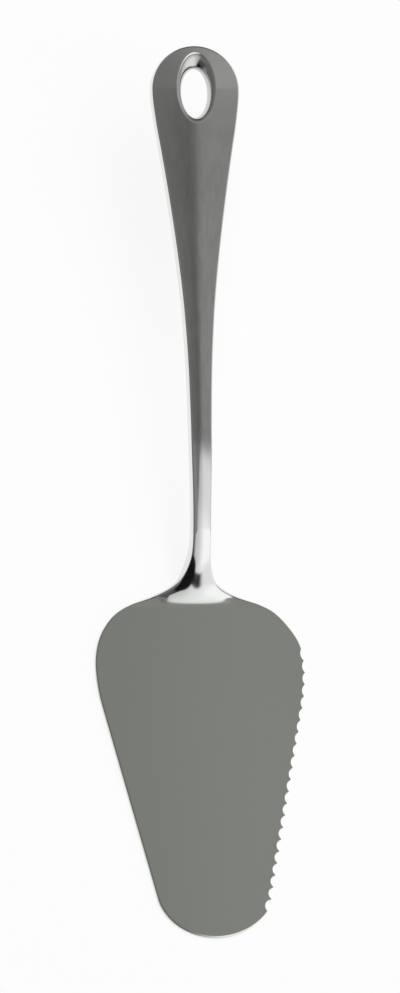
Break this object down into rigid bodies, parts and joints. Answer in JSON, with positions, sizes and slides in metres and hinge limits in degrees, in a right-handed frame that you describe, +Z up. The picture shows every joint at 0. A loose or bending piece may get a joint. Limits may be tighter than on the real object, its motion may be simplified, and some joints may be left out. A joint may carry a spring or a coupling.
{
  "type": "cake server",
  "caption": "Cake server: flat leaf-shaped blade with one serrated edge, arched neck, and a slim raised handle that widens to a round head with an oval hanging eye.",
  "frame": {"origin": "on the blade's flat underside, on its middle line, where the blade is widest", "axes": "+Y from the blade's tip towards the handle's end, +X to the serrated edge, +Z up out of the blade's upper face"},
  "size_m": [0.0641, 0.2656, 0.0485],
  "materials": {
    "blade_steel": "polished, with a fine straight grain",
    "stem_steel": "mirror polished",
    "handle_steel": "mirror polished",
    "eye_steel": "mirror polished"
  },
  "bodies": {
    "root": {"blade": "blade_steel", "stem": "stem_steel", "handle_front": "handle_steel", "handle_back": "handle_steel", "hanging_eye": "eye_steel"}
  },
  "joints": []
}
